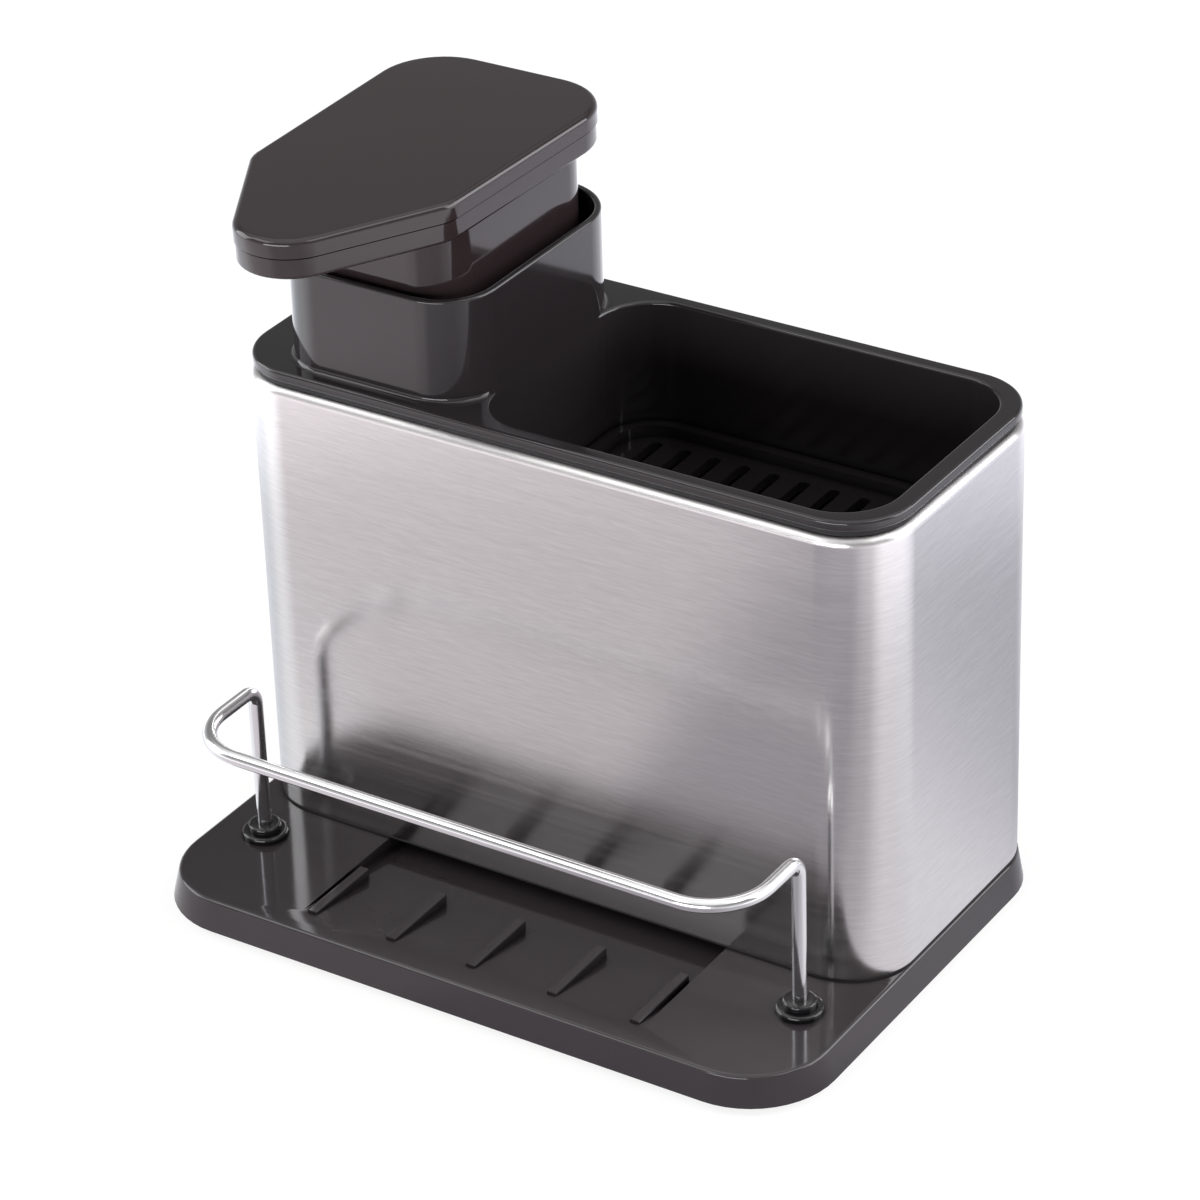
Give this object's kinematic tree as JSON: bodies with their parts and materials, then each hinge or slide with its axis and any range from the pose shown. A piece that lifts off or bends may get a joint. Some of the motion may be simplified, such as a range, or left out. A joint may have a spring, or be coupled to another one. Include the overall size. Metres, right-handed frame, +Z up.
{
  "type": "soap pump caddy",
  "caption": "Countertop soap pump caddy: steel sleeve on a drip tray with a wire rail, a sponge basin with a drain grille, and a pump turret with a broad press-down head.",
  "frame": {"origin": "on the counter, under the middle of the drip tray's outline", "axes": "+Z up, -Y towards the user (the rail's side), +X to the user's right; the pump turret is at -X"},
  "size_m": [0.182, 0.128, 0.185],
  "materials": {
    "tray_plastic": "polished moulding",
    "liner_plastic": "polished moulding",
    "head_plastic": "polished moulding",
    "black_rubber": "satin",
    "black_grommet": "glossy",
    "chrome_wire": "polished",
    "sleeve_steel": "brushed along the horizontal",
    "spring_steel": "bright",
    "tank_plastic": "natural, translucent",
    "pump_plastic": "natural white"
  },
  "bodies": {
    "base": {"base_tray": "tray_plastic", "foot_front_left": "black_rubber", "foot_front_right": "black_rubber", "foot_back_left": "black_rubber", "foot_back_right": "black_rubber", "rail": "chrome_wire", "grommet_left": "black_grommet", "grommet_right": "black_grommet", "push_nut_left": "spring_steel", "push_nut_right": "spring_steel", "sleeve": "sleeve_steel", "sleeve_seal": "black_rubber"},
    "liner": {"liner": "liner_plastic", "rim_seal": "black_rubber", "soap_tank": "tank_plastic", "tank_gasket": "black_rubber", "drain_seal": "black_rubber"},
    "grille": {"drain_grille": "liner_plastic"},
    "pump": {"pump_plate": "pump_plastic", "plate_gasket": "black_rubber", "pump_cylinder": "pump_plastic", "cylinder_nut": "pump_plastic", "stem_guide": "pump_plastic", "return_spring": "spring_steel", "spring_seat": "pump_plastic", "check_ball": "spring_steel", "dip_tube": "pump_plastic", "inlet_strainer": "pump_plastic"},
    "head": {"stem": "pump_plastic", "piston_seal": "black_rubber", "plunger": "head_plastic", "head_shell": "head_plastic", "head_cover": "head_plastic", "spout_tube": "pump_plastic", "nozzle": "pump_plastic"}
  },
  "joints": [
    {"name": "liner_lift", "type": "slide", "parent": "base", "child": "liner", "axis": [0, 0, 1], "range_m": [0, 0.13]},
    {"name": "grille_lift", "type": "slide", "parent": "liner", "child": "grille", "axis": [0, 0, 1], "range_m": [0, 0.05]},
    {"name": "pump_lift", "type": "slide", "parent": "liner", "child": "pump", "axis": [0, 0, 1], "range_m": [0, 0.15]},
    {"name": "head_press", "type": "slide", "parent": "pump", "child": "head", "axis": [0, 0, -1], "range_m": [0, 0.014], "stiffness_N_per_m": 500, "springref_m": -0.006, "deforming": ["return_spring"]}
  ]
}
